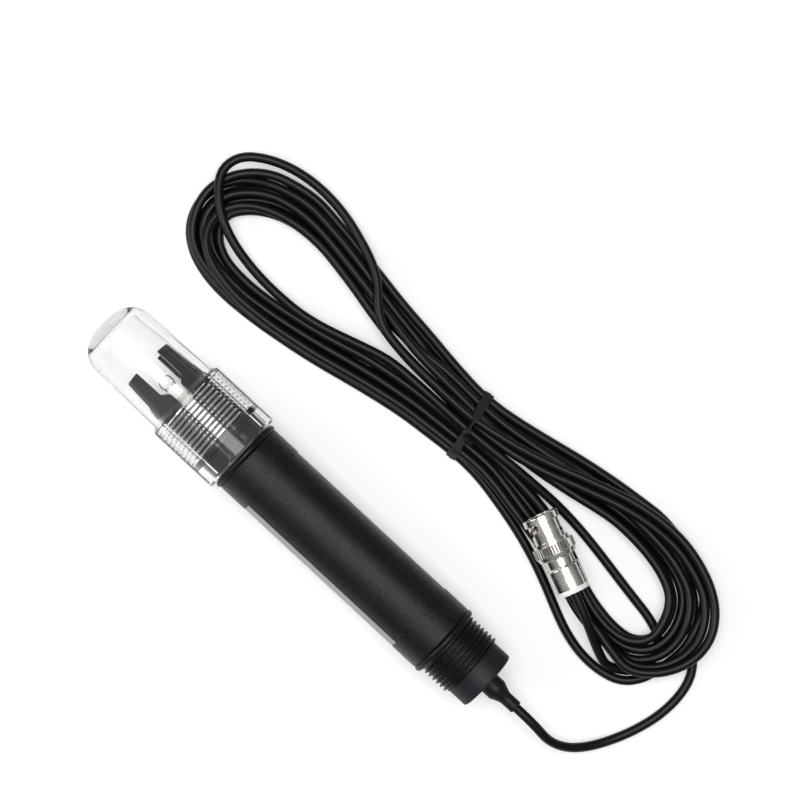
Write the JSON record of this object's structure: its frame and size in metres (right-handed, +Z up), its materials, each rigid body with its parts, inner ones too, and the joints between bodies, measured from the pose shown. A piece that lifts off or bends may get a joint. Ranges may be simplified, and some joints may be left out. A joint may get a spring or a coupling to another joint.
{
  "type": "industrial ph electrode with cap and cable",
  "caption": "Threaded pH electrode with a clear screw-on cap, a long thin cable wound in a tied hank and a bayonet plug.",
  "frame": {"origin": "on the surface it lies on, below the middle of the electrode from cap tip to cable boot", "axes": "+X along the electrode from the cap to the cable, +Y towards the cable's hank, +Z up"},
  "size_m": [0.2547, 0.1061, 0.0327],
  "materials": {
    "barrel_plastic": "moulded, softly grained",
    "end_plastic": "moulded, matt",
    "ring_rubber": "smooth rubber",
    "boot_rubber": "satin rubber",
    "label_film": "satin silver film",
    "sensing_glass": "clear blown glass",
    "silver_wire": "drawn wire",
    "porous_core": "porous, matt",
    "cable_jacket": "semi-gloss cable jacket",
    "clear_plastic": "clear, see-through",
    "bright_nickel": "bright plated",
    "gasket_rubber": "soft red gasket",
    "spring_steel": "bright strip",
    "white_plastic": "smooth white",
    "gold_pin": "gold-plated",
    "tie_jacket": "thin jacket over wire"
  },
  "bodies": {
    "root": {"probe_housing": "barrel_plastic", "rear_plug": "end_plastic", "front_o_ring": "ring_rubber", "rear_o_ring": "ring_rubber", "cable_boot": "boot_rubber", "label_strip": "label_film", "glass_electrode": "sensing_glass", "inner_wire": "silver_wire", "reference_wire": "silver_wire", "junction_core": "porous_core", "stem_seal": "ring_rubber", "chamber_plug": "porous_core", "inner_cable": "cable_jacket", "plug_body": "bright_nickel", "plug_gasket": "gasket_rubber", "plug_spring_washer": "spring_steel", "plug_sleeve": "bright_nickel", "plug_bushing": "white_plastic", "plug_insulator": "white_plastic", "plug_pin": "gold_pin", "cable_lead": "cable_jacket", "cable_hank": "cable_jacket", "cable_tail": "cable_jacket", "cable_tie": "tie_jacket"},
    "cap_ring": {"cap_seal_ring": "ring_rubber"},
    "cap": {"protective_cap": "clear_plastic"},
    "nut_ring": {"nut_washer": "spring_steel"},
    "nut": {"plug_nut": "bright_nickel"}
  },
  "joints": [
    {"name": "cap_draw", "type": "slide", "parent": "root", "child": "cap_ring", "axis": [-1, 0, 0], "range_m": [0, 0.0481]},
    {"name": "cap_turn", "type": "hinge", "parent": "cap_ring", "child": "cap", "pos_m": [-0.0665, 0, 0.01633], "axis": [-1, 0, 0], "range_deg": [0, 9525]},
    {"name": "nut_float", "type": "slide", "parent": "root", "child": "nut_ring", "axis": [-0.9239, 0.3827, 0], "range_m": [0, 0.0005], "stiffness_N_per_m": 2000},
    {"name": "nut_turn", "type": "hinge", "parent": "nut_ring", "child": "nut", "pos_m": [0.0599, 0.0559, 0.0147], "axis": [-0.9239, 0.3827, 0], "continuous": true}
  ],
  "couplings": [
    {"joint": "cap_draw", "follows": "cap_turn", "m_per_rad": 0.00028871}
  ]
}
